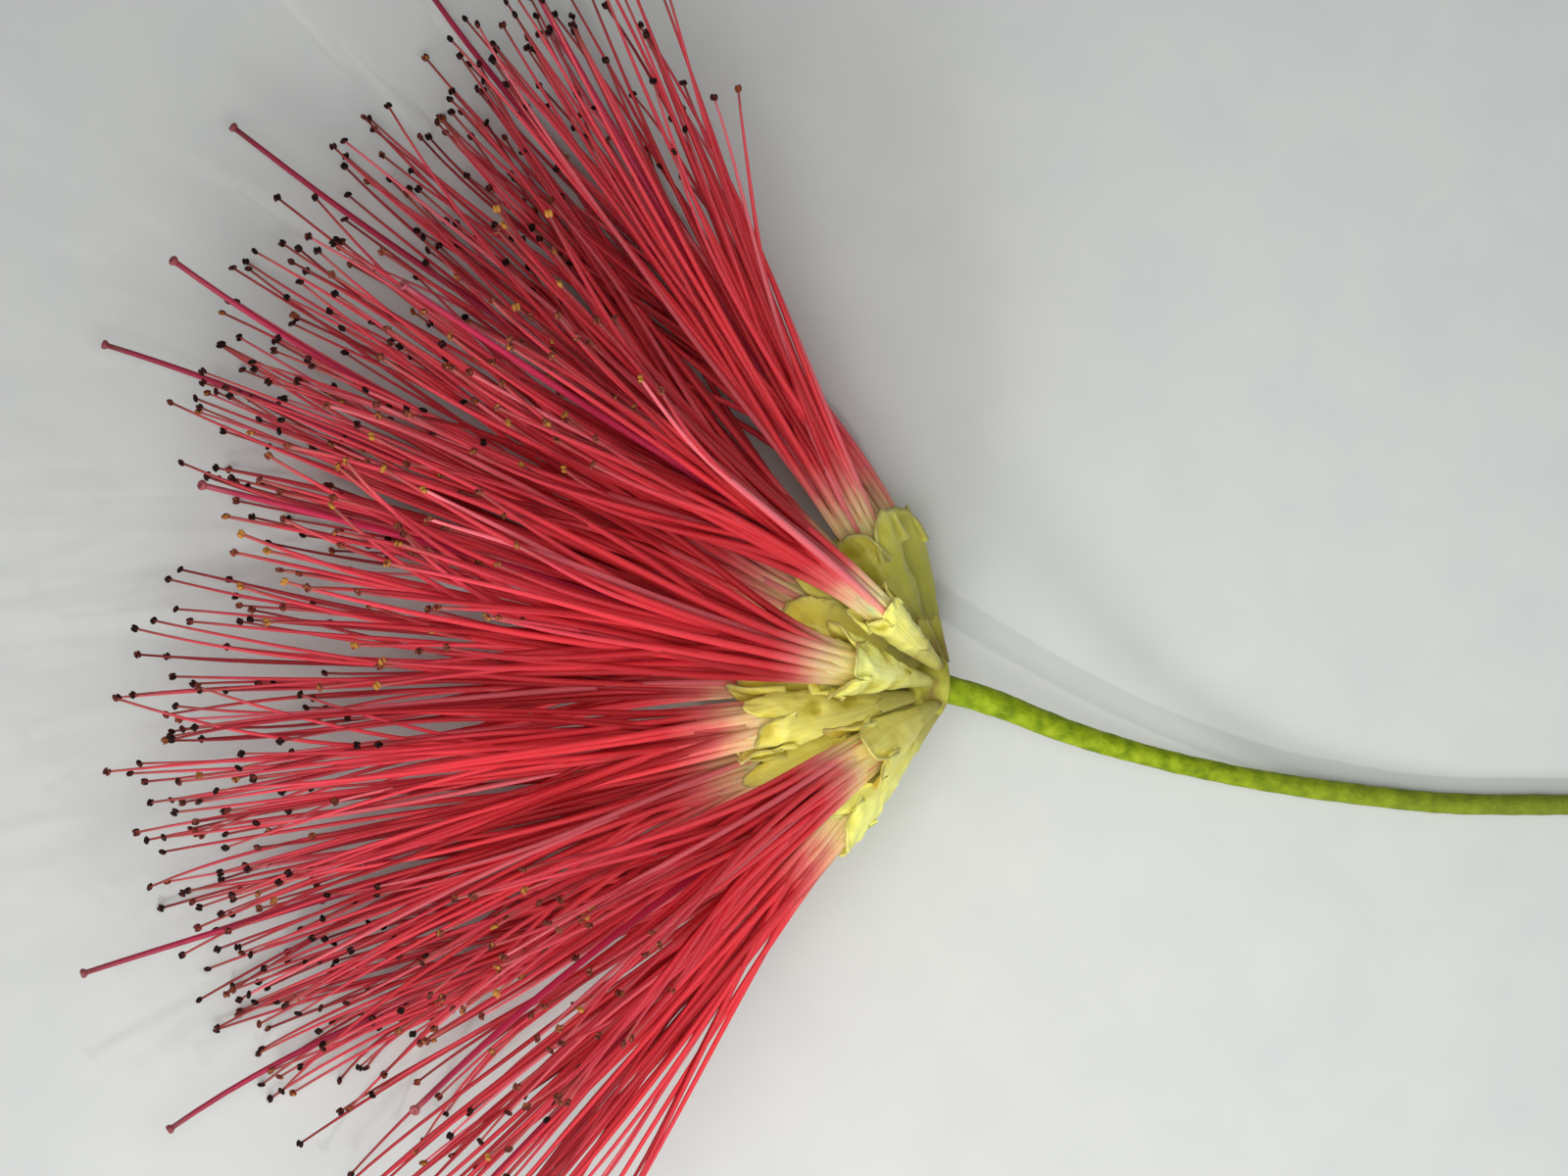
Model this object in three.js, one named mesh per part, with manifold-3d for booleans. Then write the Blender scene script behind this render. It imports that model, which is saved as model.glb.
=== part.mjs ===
// Baja fairy duster: one cut flower head with its stalk, lying on its side.
//
// The head is a whorl of florets on a small domed receptacle at the end of the stalk. Each floret
// has a waxy corolla with its calyx at the foot and a tube that carries long stamens, and nearly
// all have one longer style. The stalk's far end and the lowest stamens rest on the surface z = 0.
// Millimetres and degrees, +Z up. The origin lies on that surface, under the middle of the flower.

import * as THREE from 'three';
import { mergeVertices } from 'three/addons/utils/BufferGeometryUtils.js';
import Module from 'manifold-3d';

const wasm = await Module();
wasm.setup();

// The head: its centre, where the floret axes meet, and the way it faces
const HEAD = new THREE.Vector3(0.5, -1.77, 3.6);
const HEAD_FACES = direction(176, 20);
const TABLE = -HEAD.z;

// Each floret, as seen from the head's centre: azimuth and elevation of its corolla, how far the
// corolla reaches, and azimuth and elevation of its brush of stamens
const FLORETS = [
  [107, -18, 6.1, 128, -7],
  [118, 12, 6.1, 119, 12],
  [130, 46, 5.6, 143, 44],
  [133, -14, 6.1, 141, -4],
  [167, 49, 6.1, 163, 40],
  [150, 18, 6.2, 151, 20],
  [160, -12, 6.4, 157, -5],
  [177, 4, 6.6, 180, 2],
  [191, 21, 7.1, 189, 18],
  [203, 2, 7.2, 198, 0],
  [226, -12, 6.6, 210, -4],
  [232, 22, 6.6, 227, 15],
  [219, 50, 6.1, 215, 47],
];

// Florets that carry stamens only
const WITHOUT_STYLE = [8, 9];

// Stalk, which sinks from the head's centre until it lies on the surface, and receptacle
const STALK_SINKS = [
  [0, 0, 0],
  [1.8, -0.55, -0.35],
  [4.4, -1.55, -1.25],
  [7.5, -2.45, -2.2],
  [10.6, -3.1, -2.85],
  [13.7, -3.55, -3.15],
];
const STALK_LIES = [[16.8, -3.85], [21.4, -3.88], [26, -3.9]];
const STALK_RADIUS = 0.34;
const STALK_NECK_RADIUS = 0.44;
const STALK_NECK_LENGTH = 8;
const STALK_SIDES = 8;
const STALK_STEPS = 24;
const RECEPTACLE_RADIUS = 1.08;
const RECEPTACLE_ARC = 105;
const RECEPTACLE_ARC_STEPS = 5;
const RECEPTACLE_BACK = 0.45;
const RECEPTACLE_SEGMENTS = 12;

// Florets: heights from the foot, those of the corolla as parts of its length
const FOOT_DISTANCE = 1.25;
const FOOT_SPREAD = 0.35;
const CALYX = [[0, 0.25], [0.4, 0.32], [1.15, 0.46], [1.2, 0.41]];
const MOUTH = 0.684;
const MOUTH_OUTER_RADIUS = 0.98;
const MOUTH_INNER_RADIUS = 0.84;
const COROLLA_OUTSIDE = [[0.386, 0.62], [0.56, 0.85], [MOUTH, MOUTH_OUTER_RADIUS], [0.86, 1.12], [1, 1.05]];
const COROLLA_INSIDE = [[0.99, 0.95], [MOUTH, MOUTH_INNER_RADIUS], [0.386, 0.49], [0.27, 0.3]];
const STAMEN_TUBE = [[0.3, 0.18], [0.56, 0.57], [0.64, 0.66]];
const STAMEN_TUBE_SEGMENTS = 9;
const LOBES = 5;
const LOBE_SHAPE = [0.5, 1, 1];
const LOBE_RAGGED = 0.3;

// Strands: the stamens and the style of each floret
const STAMENS = 16;
const STAMEN_LENGTH = 26.2;
const STAMEN_SHORTEST = 0.9;
const STYLE_LENGTH = 28.8;
const ROOT = 0.58;
const ROOT_INNER = 0.32;
const ROOT_OUTER = 0.53;
const LOBE_ROOM = 0.75;
const SOCKET_RADIUS = 0.22;
const SOCKET_SIDES = 8;
const SOCKET_BELOW_ROOT = 0.15;
const SOCKET_ABOVE_TUBE = 0.2;
const FAN = 9;
const STRAIGHT = 6;
const BEND_AT = 0.68;
const WAVER = 0.8;
const TIP_WAVER = 0.75;
const STRAY_SHARE = 0.1;
const STRAY_WAVER = 2.6;
const GOLDEN_TURN = Math.PI * (3 - Math.sqrt(5));
const STAMEN = {
  stations: [0, 0.15, 0.48, 1],
  radii: [0.11, 0.11, 0.09, 0.07],
  sides: 3,
  head: 0.19,
  headLength: 0.34,
};
const STYLE = {
  stations: [0, 0.14, 0.36, 0.6, 0.82, 1],
  radii: [0.1, 0.15, 0.15, 0.14, 0.12, 0.11],
  sides: 4,
  head: 0.19,
  headLength: 0.3,
};

// Where an anther or stigma is widest, as a part of its length from the tip
const HEAD_WIDEST_AT = 0.4;

// Free space kept between strands of two florets, or a strand and a corolla, and in one brush
const CLEARANCE = 0.12;
const BRUSH_CLEARANCE = 0.02;
const COROLLA_ROOM = [
  { from: 0, to: MOUTH, start: 0.5, end: 0.98 },
  { from: MOUTH, to: 1, start: 1.12, end: 1.15 },
];
const EASING_PASSES = 60;
const SMALLEST_SHARE = 0.1;
const RANDOM_SEED = 1637;

const petalMaterial = material(0xb9bd45, 0.5);
const stamenMaterial = material(0xc0323c, 0.5);
const styleMaterial = material(0xb01745, 0.4);
const stalkMaterial = material(0x86a32e, 0.55);

function material(color, roughness) {
  return new THREE.MeshStandardMaterial({ color, roughness, metalness: 0 });
}

function direction(azimuth, elevation) {
  const turn = THREE.MathUtils.degToRad(azimuth);
  const rise = THREE.MathUtils.degToRad(elevation);
  return new THREE.Vector3(
    Math.cos(rise) * Math.cos(turn), Math.cos(rise) * Math.sin(turn), Math.sin(rise));
}

// A repeatable row of numbers from 0 to 1
function seededDraws(seed) {
  let state = seed;
  return () => {
    state = (Math.imul(state, 1664525) + 1013904223) >>> 0;
    return state / 2 ** 32;
  };
}

const draw = seededDraws(RANDOM_SEED);

function drawOffset(size) {
  return new THREE.Vector3(draw() - 0.5, draw() - 0.5, draw() - 0.5).multiplyScalar(2 * size);
}

// The point at an angle on a unit circle round an axis, 0 being level
function aroundAxis(axis, angle) {
  const level = new THREE.Vector3(0, 0, 1).cross(axis).normalize();
  const upright = axis.clone().cross(level);
  return level.multiplyScalar(Math.cos(angle)).addScaledVector(upright, Math.sin(angle));
}

// Solids are joined and cut with manifold and turned back into three.js geometry
function toSolid(geometry) {
  const bare = geometry.clone();
  bare.deleteAttribute('normal');
  bare.deleteAttribute('uv');
  const welded = mergeVertices(bare, 1e-5);
  return new wasm.Manifold(new wasm.Mesh({
    numProp: 3,
    vertProperties: new Float32Array(welded.attributes.position.array),
    triVerts: new Uint32Array(welded.index.array),
  }));
}

function toGeometry(solid) {
  const mesh = solid.getMesh();
  const geometry = new THREE.BufferGeometry();
  geometry.setAttribute('position', new THREE.BufferAttribute(mesh.vertProperties, 3));
  geometry.setIndex(new THREE.BufferAttribute(mesh.triVerts, 1));
  geometry.computeVertexNormals();
  return geometry;
}

// A cylinder bent along points, with a radius at each, one flat side down and its end drawn out
function sweep(points, radii, sides, endDome) {
  const steps = points.length - 1;
  const flatDown = sides % 2 ? Math.PI : Math.PI / sides;
  const geometry = new THREE.CylinderGeometry(1, 1, 1, sides, steps, false, flatDown);
  const place = geometry.attributes.position;
  for (let i = 0; i < place.count; i += 1) {
    const step = Math.round((place.getY(i) + 0.5) * steps);
    const along = points[Math.min(step + 1, steps)].clone().sub(points[Math.max(step - 1, 0)]).normalize();
    const level = new THREE.Vector3(0, 0, 1).cross(along).normalize();
    const downward = level.clone().cross(along);
    const spot = points[step].clone()
      .addScaledVector(level, place.getX(i) * radii[step])
      .addScaledVector(downward, place.getZ(i) * radii[step]);
    const isEndCentre = step === steps && Math.hypot(place.getX(i), place.getZ(i)) < 0.5;
    if (isEndCentre) spot.addScaledVector(along, endDome);
    place.setXYZ(i, spot.x, spot.y, spot.z);
  }
  return geometry;
}

// Where a floret stands: its foot on the receptacle, its axis and its length
function placeFloret([azimuth, elevation, reach, brushAzimuth, brushElevation], index) {
  const outward = direction(azimuth, elevation);
  const foot = outward.clone().addScaledVector(HEAD_FACES, -FOOT_SPREAD).setLength(FOOT_DISTANCE);
  const tip = outward.clone().multiplyScalar(reach);
  const length = tip.distanceTo(foot);
  const axis = tip.clone().sub(foot).normalize();
  const brush = direction(brushAzimuth, brushElevation);
  const floret = { foot, tip, length, axis, brush };
  floret.stamens = Array.from({ length: STAMENS }, (_, k) => stamenRoute(floret, k));
  floret.styles = WITHOUT_STYLE.includes(index + 1) ? [] : [styleRoute(floret)];
  floret.strands = [...floret.stamens, ...floret.styles];
  return floret;
}

function aboveTable(point, lift) {
  point.z = Math.max(point.z, TABLE + lift);
  return point;
}

// A strand leaves its root along the corolla's axis, then bends into its place in the brush
function strandAlong(kind, root, bend, tip, floret) {
  const start = root.clone().addScaledVector(floret.axis, STRAIGHT);
  const ends = [bend, tip].map((point) => aboveTable(point, kind.head));
  const curve = new THREE.CubicBezierCurve3(root, start, ...ends);
  const points = kind.stations.map((t) => aboveTable(curve.getPoint(t), kind.head));
  return { kind, points };
}

function stamenRoute(floret, k) {
  const spread = Math.sqrt((k + 0.5) / STAMENS);
  const turn = k * GOLDEN_TURN;
  const rootDistance = THREE.MathUtils.lerp(ROOT_INNER, ROOT_OUTER, spread);
  const root = floret.foot.clone()
    .addScaledVector(floret.axis, ROOT * floret.length)
    .addScaledVector(aroundAxis(floret.axis, turn), rootDistance);
  const fan = Math.tan(THREE.MathUtils.degToRad(FAN)) * spread;
  const outward = floret.brush.clone().addScaledVector(aroundAxis(floret.brush, turn), fan).normalize();
  const length = STAMEN_LENGTH * THREE.MathUtils.lerp(STAMEN_SHORTEST, 1, draw());
  const waver = draw() < STRAY_SHARE ? STRAY_WAVER : WAVER;
  const bend = outward.clone().multiplyScalar(BEND_AT * length).add(drawOffset(waver));
  const tip = outward.clone().multiplyScalar(length).add(drawOffset(TIP_WAVER * waver));
  return strandAlong(STAMEN, root, bend, tip, floret);
}

function styleRoute(floret) {
  const root = floret.foot.clone().addScaledVector(floret.axis, ROOT * floret.length);
  const bend = floret.brush.clone().multiplyScalar(BEND_AT * STYLE_LENGTH).add(drawOffset(WAVER));
  const tip = floret.brush.clone().multiplyScalar(STYLE_LENGTH).add(drawOffset(WAVER));
  return strandAlong(STYLE, root, bend, tip, floret);
}

// The nearest points of two segments, as parts of each, and the way from the first to the second
function nearest(a, b, c, d) {
  const ab = b.clone().sub(a);
  const cd = d.clone().sub(c);
  const ca = a.clone().sub(c);
  const abab = ab.dot(ab);
  const cdcd = cd.dot(cd);
  const abcd = ab.dot(cd);
  const bottom = abab * cdcd - abcd * abcd;
  let s = bottom > 1e-9 ? (abcd * cd.dot(ca) - cdcd * ab.dot(ca)) / bottom : 0;
  s = THREE.MathUtils.clamp(s, 0, 1);
  const u = THREE.MathUtils.clamp((abcd * s + cd.dot(ca)) / cdcd, 0, 1);
  s = THREE.MathUtils.clamp((abcd * u - ab.dot(ca)) / abab, 0, 1);
  const way = c.clone().addScaledVector(cd, u).sub(a.clone().addScaledVector(ab, s));
  if (way.length() < 1e-6) way.crossVectors(ab, cd).setLength(1e-6);
  return { s, u, way };
}

// How far each end of a segment moves for a push at a point along it; a strand's root stays
function pushEnds(points, i, part, push) {
  const near = i === 0 ? 0 : 1 - part;
  const share = Math.max(near * near + part * part, SMALLEST_SHARE);
  points[i].addScaledVector(push, near / share);
  points[i + 1].addScaledVector(push, part / share);
}

function thickness(strand, i, part) {
  const last = strand.points.length - 1;
  const end = i + 1 === last ? strand.kind.head : strand.kind.radii[i + 1];
  return THREE.MathUtils.lerp(strand.kind.radii[i], end, part);
}

function easeApart(one, other, clearance) {
  for (let i = 0; i < one.points.length - 1; i += 1) {
    for (let j = 0; j < other.points.length - 1; j += 1) {
      const { s, u, way } = nearest(one.points[i], one.points[i + 1], other.points[j], other.points[j + 1]);
      const wanted = thickness(one, i, s) + thickness(other, j, u) + clearance;
      const lack = wanted - way.length();
      if (lack <= 0) continue;
      way.setLength(lack / 2);
      pushEnds(other.points, j, u, way);
      pushEnds(one.points, i, s, way.negate());
    }
  }
}

// A strand passes beside the corollas of the other florets
function easeOffCorolla(strand, floret) {
  for (const room of COROLLA_ROOM) {
    const low = floret.foot.clone().lerp(floret.tip, room.from);
    const high = floret.foot.clone().lerp(floret.tip, room.to);
    for (let i = 0; i < strand.points.length - 1; i += 1) {
      const { s, u, way } = nearest(strand.points[i], strand.points[i + 1], low, high);
      const radius = THREE.MathUtils.lerp(room.start, room.end, u);
      const lack = radius + thickness(strand, i, s) + CLEARANCE - way.length();
      if (lack <= 0) continue;
      pushEnds(strand.points, i, s, way.setLength(-lack));
    }
  }
}

// A strand leaves its own corolla through the mouth, inside the lobes
function keepInMouth(strand, floret) {
  const [root, next] = strand.points;
  const rise = next.clone().sub(floret.foot).dot(floret.axis);
  const rootRise = root.clone().sub(floret.foot).dot(floret.axis);
  const centre = floret.foot.clone().addScaledVector(floret.axis, rise);
  const away = next.clone().sub(centre);
  const opening = (LOBE_ROOM - ROOT_OUTER) / (floret.length - rootRise);
  const allowed = ROOT_OUTER + opening * (rise - rootRise);
  if (away.length() > allowed) next.copy(centre).add(away.setLength(allowed));
}

function untangle(florets) {
  for (let pass = 0; pass < EASING_PASSES; pass += 1) {
    florets.forEach((floret, a) => {
      floret.stamens.forEach((stamen, k) => {
        floret.styles.forEach((style) => easeApart(stamen, style, CLEARANCE));
        floret.stamens.slice(k + 1).forEach((mate) => easeApart(stamen, mate, BRUSH_CLEARANCE));
      });
      florets.forEach((other, b) => {
        if (b > a) floret.strands.forEach((x) => other.strands.forEach((y) => easeApart(x, y, CLEARANCE)));
        if (b !== a) floret.strands.forEach((strand) => easeOffCorolla(strand, other));
      });
    });
    for (const floret of florets) {
      for (const strand of floret.strands) {
        keepInMouth(strand, floret);
        strand.points.forEach((point) => aboveTable(point, strand.kind.head));
      }
    }
  }
}

// A strand's solid: the thread, then its anther or stigma as a small bud at the tip
function strandSolid({ kind, points }) {
  const last = points.length - 1;
  const tip = points[last];
  const back = points[last - 1].clone().sub(tip).normalize();
  const dome = HEAD_WIDEST_AT * kind.headLength;
  const neck = tip.clone().addScaledVector(back, kind.headLength);
  const widest = tip.clone().addScaledVector(back, dome);
  const route = [...points.slice(0, last), neck, widest];
  return toSolid(sweep(route, [...kind.radii, kind.head], kind.sides, dome));
}

function largestBody(solid) {
  return solid.decompose().sort((a, b) => b.volume() - a.volume())[0];
}

// A turned form, from its profile of heights and radii
function lathe(profile, segments) {
  const outline = profile.map(([height, radius]) => new THREE.Vector2(radius, height));
  return new THREE.LatheGeometry(outline, segments);
}

// The geometry of a lathe stands on its +Y axis; a turn sets that on the floret's axis
function standOn(object, foot, axis, roll) {
  object.position.copy(foot);
  object.quaternion.setFromUnitVectors(new THREE.Vector3(0, 1, 0), axis);
  object.rotateY(roll);
  object.updateMatrix();
  return object;
}

// The hole for the style, down the middle of a tube of stamens
function socketSolid(floret) {
  const low = ROOT * floret.length - SOCKET_BELOW_ROOT;
  const high = STAMEN_TUBE[STAMEN_TUBE.length - 1][0] * floret.length + SOCKET_ABOVE_TUBE;
  const ends = [low, high].map((height) => floret.foot.clone().addScaledVector(floret.axis, height));
  return toSolid(sweep(ends, [SOCKET_RADIUS, SOCKET_RADIUS], SOCKET_SIDES, 0));
}

// Tube of stamens with its filaments
function stamensSolid(floret) {
  const wall = STAMEN_TUBE.map(([part, radius]) => [part * floret.length, radius]);
  const top = wall[wall.length - 1][0];
  const profile = [[wall[0][0], 0], ...wall, [top, 0]];
  const place = standOn(new THREE.Object3D(), floret.foot, floret.axis, 0);
  const tube = lathe(profile, STAMEN_TUBE_SEGMENTS).applyMatrix4(place.matrix);
  const joined = wasm.Manifold.union([toSolid(tube), ...floret.stamens.map(strandSolid)]);
  return largestBody(floret.styles.length ? joined.subtract(socketSolid(floret)) : joined);
}

// Calyx and corolla in one: narrow foot, widening tube, and five ragged lobes at the mouth
function corollaGeometry(length) {
  const scaled = ([part, radius]) => [part * length, radius];
  const outside = [[0, 0], ...CALYX, ...COROLLA_OUTSIDE.map(scaled)];
  const inside = COROLLA_INSIDE.map(scaled);
  const profile = [...outside, ...inside, [inside[inside.length - 1][0], 0]];
  const columns = LOBES * LOBE_SHAPE.length;
  const shares = Array.from({ length: columns }, (_, column) => (
    LOBE_SHAPE[column % LOBE_SHAPE.length] * (1 - LOBE_RAGGED * draw())));
  const geometry = lathe(profile, columns);
  const place = geometry.attributes.position;
  const mouthHeight = MOUTH * length;
  for (let i = 0; i < place.count; i += 1) {
    const row = i % profile.length;
    const [height, radius] = profile[row];
    if (height <= mouthHeight) continue;
    const share = shares[Math.floor(i / profile.length) % columns];
    const mouthRadius = row < outside.length ? MOUTH_OUTER_RADIUS : MOUTH_INNER_RADIUS;
    const grow = THREE.MathUtils.lerp(mouthRadius, radius, share) / radius;
    const newHeight = THREE.MathUtils.lerp(mouthHeight, height, share);
    place.setXYZ(i, place.getX(i) * grow, newHeight, place.getZ(i) * grow);
  }
  return geometry;
}

// The receptacle: a dome that faces the florets, with a flat cone behind it
function receptacleGeometry() {
  const profile = [[-RECEPTACLE_BACK, 0]];
  for (let step = RECEPTACLE_ARC_STEPS; step >= 0; step -= 1) {
    const turn = THREE.MathUtils.degToRad(RECEPTACLE_ARC * step / RECEPTACLE_ARC_STEPS);
    profile.push([RECEPTACLE_RADIUS * Math.cos(turn), RECEPTACLE_RADIUS * Math.sin(turn)]);
  }
  const place = standOn(new THREE.Object3D(), new THREE.Vector3(), HEAD_FACES, 0);
  return lathe(profile, RECEPTACLE_SEGMENTS).applyMatrix4(place.matrix);
}

// Stalk with the receptacle's dome at its end
function peduncleSolid() {
  const lying = TABLE + STALK_RADIUS * Math.cos(Math.PI / STALK_SIDES);
  const route = [...STALK_SINKS, ...STALK_LIES.map(([x, y]) => [x, y, lying])];
  const curve = new THREE.CatmullRomCurve3(route.map((point) => new THREE.Vector3(...point)));
  const points = curve.getSpacedPoints(STALK_STEPS);
  points.forEach((point) => { point.z = Math.max(point.z, lying); });
  const radii = points.map((point) => {
    const along = Math.min(point.length() / STALK_NECK_LENGTH, 1);
    return THREE.MathUtils.lerp(STALK_NECK_RADIUS, STALK_RADIUS, along);
  });
  const stalk = toSolid(sweep(points, radii, STALK_SIDES, 0));
  return stalk.add(toSolid(receptacleGeometry()));
}

function namedMesh(name, geometry, material) {
  const mesh = new THREE.Mesh(geometry, material);
  mesh.name = name;
  return mesh;
}

function buildFlower() {
  const flower = new THREE.Group();
  flower.position.copy(HEAD);
  flower.add(namedMesh('peduncle', toGeometry(peduncleSolid()), stalkMaterial));
  const florets = FLORETS.map(placeFloret);
  untangle(florets);
  florets.forEach((floret, index) => {
    const number = String(index + 1).padStart(2, '0');
    const corolla = namedMesh(`corolla_${number}`, corollaGeometry(floret.length), petalMaterial);
    flower.add(standOn(corolla, floret.foot, floret.axis, 2 * Math.PI * draw()));
    flower.add(namedMesh(`stamens_${number}`, toGeometry(stamensSolid(floret)), stamenMaterial));
    floret.styles.forEach((style) => {
      flower.add(namedMesh(`style_${number}`, toGeometry(strandSolid(style)), styleMaterial));
    });
  });
  return flower;
}

export default buildFlower();
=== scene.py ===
# One cut flower head of a baja fairy duster with its stalk, lying on its side on a pale surface.
# Sizes are worked out in millimetres, and each mesh is turned to metres as it is finished.

import math
import random

import bmesh
import bpy
from mathutils import Matrix, Vector, noise
from mathutils.geometry import interpolate_bezier


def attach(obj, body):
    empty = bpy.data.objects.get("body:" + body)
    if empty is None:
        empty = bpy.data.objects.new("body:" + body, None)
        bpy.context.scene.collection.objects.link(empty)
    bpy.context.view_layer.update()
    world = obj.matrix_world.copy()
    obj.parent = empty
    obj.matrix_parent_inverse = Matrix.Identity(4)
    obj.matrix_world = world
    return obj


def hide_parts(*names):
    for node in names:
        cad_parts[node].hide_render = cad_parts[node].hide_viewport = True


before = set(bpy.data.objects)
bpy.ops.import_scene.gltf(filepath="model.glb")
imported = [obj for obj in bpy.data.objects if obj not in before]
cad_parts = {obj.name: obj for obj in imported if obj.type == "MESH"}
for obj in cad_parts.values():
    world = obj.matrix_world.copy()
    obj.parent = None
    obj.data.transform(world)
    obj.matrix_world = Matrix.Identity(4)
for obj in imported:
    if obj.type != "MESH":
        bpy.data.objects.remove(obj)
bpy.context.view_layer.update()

# Camera: looks straight down at the flower, as the photograph does. The picture is about 50 mm
# wide at the height of the flower head, with the head right of the middle and the stalk cut off
# by the right edge.
MM = 0.001
HEAD = Vector((0.5, -1.77, 3.6))
VIEW_WIDTH = 49.6
VIEW_DISTANCE = 180
VIEW_CENTRE = HEAD + Vector((-4.87, 3.1, 0))
NEAREST_SEEN = 10
FARTHEST_SEEN = 10000
SENSOR_WIDTH = 36

camera_data = bpy.data.cameras.new("camera")
camera_data.sensor_width = SENSOR_WIDTH
camera_data.lens = SENSOR_WIDTH * VIEW_DISTANCE / VIEW_WIDTH
camera_data.clip_start = NEAREST_SEEN * MM
camera_data.clip_end = FARTHEST_SEEN * MM
camera = bpy.data.objects.new("camera", camera_data)
camera.location = (VIEW_CENTRE + Vector((0, 0, VIEW_DISTANCE))) * MM
bpy.context.scene.collection.objects.link(camera)
bpy.context.scene.camera = camera

# The whorl: thirteen florets that stand round the end of the stalk and share one centre. Each
# opens along its own axis, and its brush of stamens bends from there in a direction of its own.
# Azimuth and elevation of each corolla, how far it reaches, and the same two angles of its brush.
FLORETS = [
    (107, -18, 6.1, 128, -7),
    (118, 12, 6.1, 119, 12),
    (130, 46, 5.6, 143, 44),
    (133, -14, 6.1, 141, -4),
    (167, 49, 6.1, 163, 40),
    (150, 18, 6.2, 151, 20),
    (160, -12, 6.4, 157, -5),
    (177, 4, 6.6, 180, 2),
    (191, 21, 7.1, 189, 18),
    (203, 2, 7.2, 198, 0),
    (226, -12, 6.6, 210, -4),
    (232, 22, 6.6, 227, 15),
    (219, 50, 6.1, 215, 47),
]
# Two florets carry stamens only. One on top is slim, and the one beside it a little stout.
WITHOUT_STYLE = (8, 9)
GIRTH = {3: 0.72, 5: 1.02}
HEAD_FACES = (176, 20)
FOOT_DISTANCE = 1.25
FOOT_SPREAD = 0.35


def direction(azimuth, elevation):
    turn, rise = math.radians(azimuth), math.radians(elevation)
    return Vector((math.cos(rise) * math.cos(turn), math.cos(rise) * math.sin(turn), math.sin(rise)))


def place_floret(number, azimuth, elevation, reach, brush_azimuth, brush_elevation):
    outward = direction(azimuth, elevation)
    foot = (outward - FOOT_SPREAD * direction(*HEAD_FACES)).normalized() * FOOT_DISTANCE
    along = outward * reach - foot
    return {
        "foot": foot,
        "axis": along.normalized(),
        "length": along.length,
        "girth": GIRTH.get(number, 1),
        "brush": direction(brush_azimuth, brush_elevation),
    }


florets = [place_floret(number, *row) for number, row in enumerate(FLORETS, 1)]

# Routes of the stamens and styles: each strand leaves the corolla along its axis and bends into
# its place in the brush. They spread like the seeds of a sunflower, and a few stray across. Two
# or three companions cling to each stamen, which makes the brush as dense as the real one.
TABLE = -HEAD.z
LIFT = 0.19
STAMENS = 16
STAMEN_LENGTH = 26.2
STAMEN_SHORTEST = 0.9
STYLE_LENGTH = 28.8
# The roots lie at this part of a floret's length, between two distances from its axis.
ROOT = 0.58
ROOT_INNER = 0.32
ROOT_OUTER = 0.53
# A strand runs straight this far, bends at a part of its length, and fans out by so many degrees.
STRAIGHT = 6
BEND_AT = 0.68
FAN = 9
WAVER = 0.8
TIP_WAVER = 0.75
STRAY_SHARE = 0.1
STRAY_WAVER = 2.6
GOLDEN_TURN = math.pi * (3 - math.sqrt(5))
RANDOM_SEED = 1637
DRAW_FACTOR = 1664525
DRAW_STEP = 1013904223
DRAW_RANGE = 2**32
# How many companions a stamen has, how long they are beside it, how far they open as they leave
# the mouth, and how far they stray at each of the four points of their route.
MOST_COMPANIONS = 3
FEWER_COMPANIONS = {1: 2, 2: 2, 8: 2, 9: 2}
COMPANION_REACH = (0.7, 1.0)
COMPANION_FAN = 0.9
COMPANION_STRAYS = (0, 0.12, 0.22, 0.62)
# In some brushes the companions are looser or tighter, or stand some degrees round to one side.
LOOSE = {1: 2.2, 2: 1.8, 4: 1.8, 8: 0.8, 9: 0.7, 10: 0.7, 12: 0.75}
TURNED = {2: -1, 4: -8, 5: 4, 7: 4, 10: 4, 12: 2}
STRAND_STEPS = 26
SWAY = 0.2
SWAYS_A_STRAND = 3
# Rows of noise that sway a strand along x, y and z, none at a whole number, where noise is nil.
SWAY_ROWS = (0.5, 10.5, 20.5)
SWAY_SPAN = 100
TIP_CURL = 0.35
TIP_CURL_POWER = 6


def seeded_draws(state):
    """Draws from 0 to 1 that are the same on every run."""
    while True:
        state = (state * DRAW_FACTOR + DRAW_STEP) % DRAW_RANGE
        yield state / DRAW_RANGE


draws = seeded_draws(RANDOM_SEED)


def draw_offset(size):
    return Vector([next(draws) - 0.5 for _ in range(3)]) * 2 * size


def mix(low, high, part):
    return low + (high - low) * part


def around_axis(axis, angle):
    level = Vector((0, 0, 1)).cross(axis).normalized()
    return level * math.cos(angle) + axis.cross(level) * math.sin(angle)


def above_table(point, lift=LIFT):
    return Vector((point.x, point.y, max(point.z, TABLE + lift)))


def mouth_middle(floret):
    return floret["foot"] + floret["axis"] * ROOT * floret["length"]


def strand_route(floret, root, bend, tip):
    return (root, root + floret["axis"] * STRAIGHT, above_table(bend), above_table(tip))


def stamen_route(floret, k):
    spread = math.sqrt((k + 0.5) / STAMENS)
    turn = k * GOLDEN_TURN
    root = mouth_middle(floret)
    root += around_axis(floret["axis"], turn) * mix(ROOT_INNER, ROOT_OUTER, spread) * floret["girth"]
    fan = math.tan(math.radians(FAN)) * spread
    outward = (floret["brush"] + around_axis(floret["brush"], turn) * fan).normalized()
    length = STAMEN_LENGTH * mix(STAMEN_SHORTEST, 1, next(draws))
    waver = STRAY_WAVER if next(draws) < STRAY_SHARE else WAVER
    bend = outward * BEND_AT * length + draw_offset(waver)
    tip = outward * length + draw_offset(TIP_WAVER * waver)
    return strand_route(floret, root, bend, tip)


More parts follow.
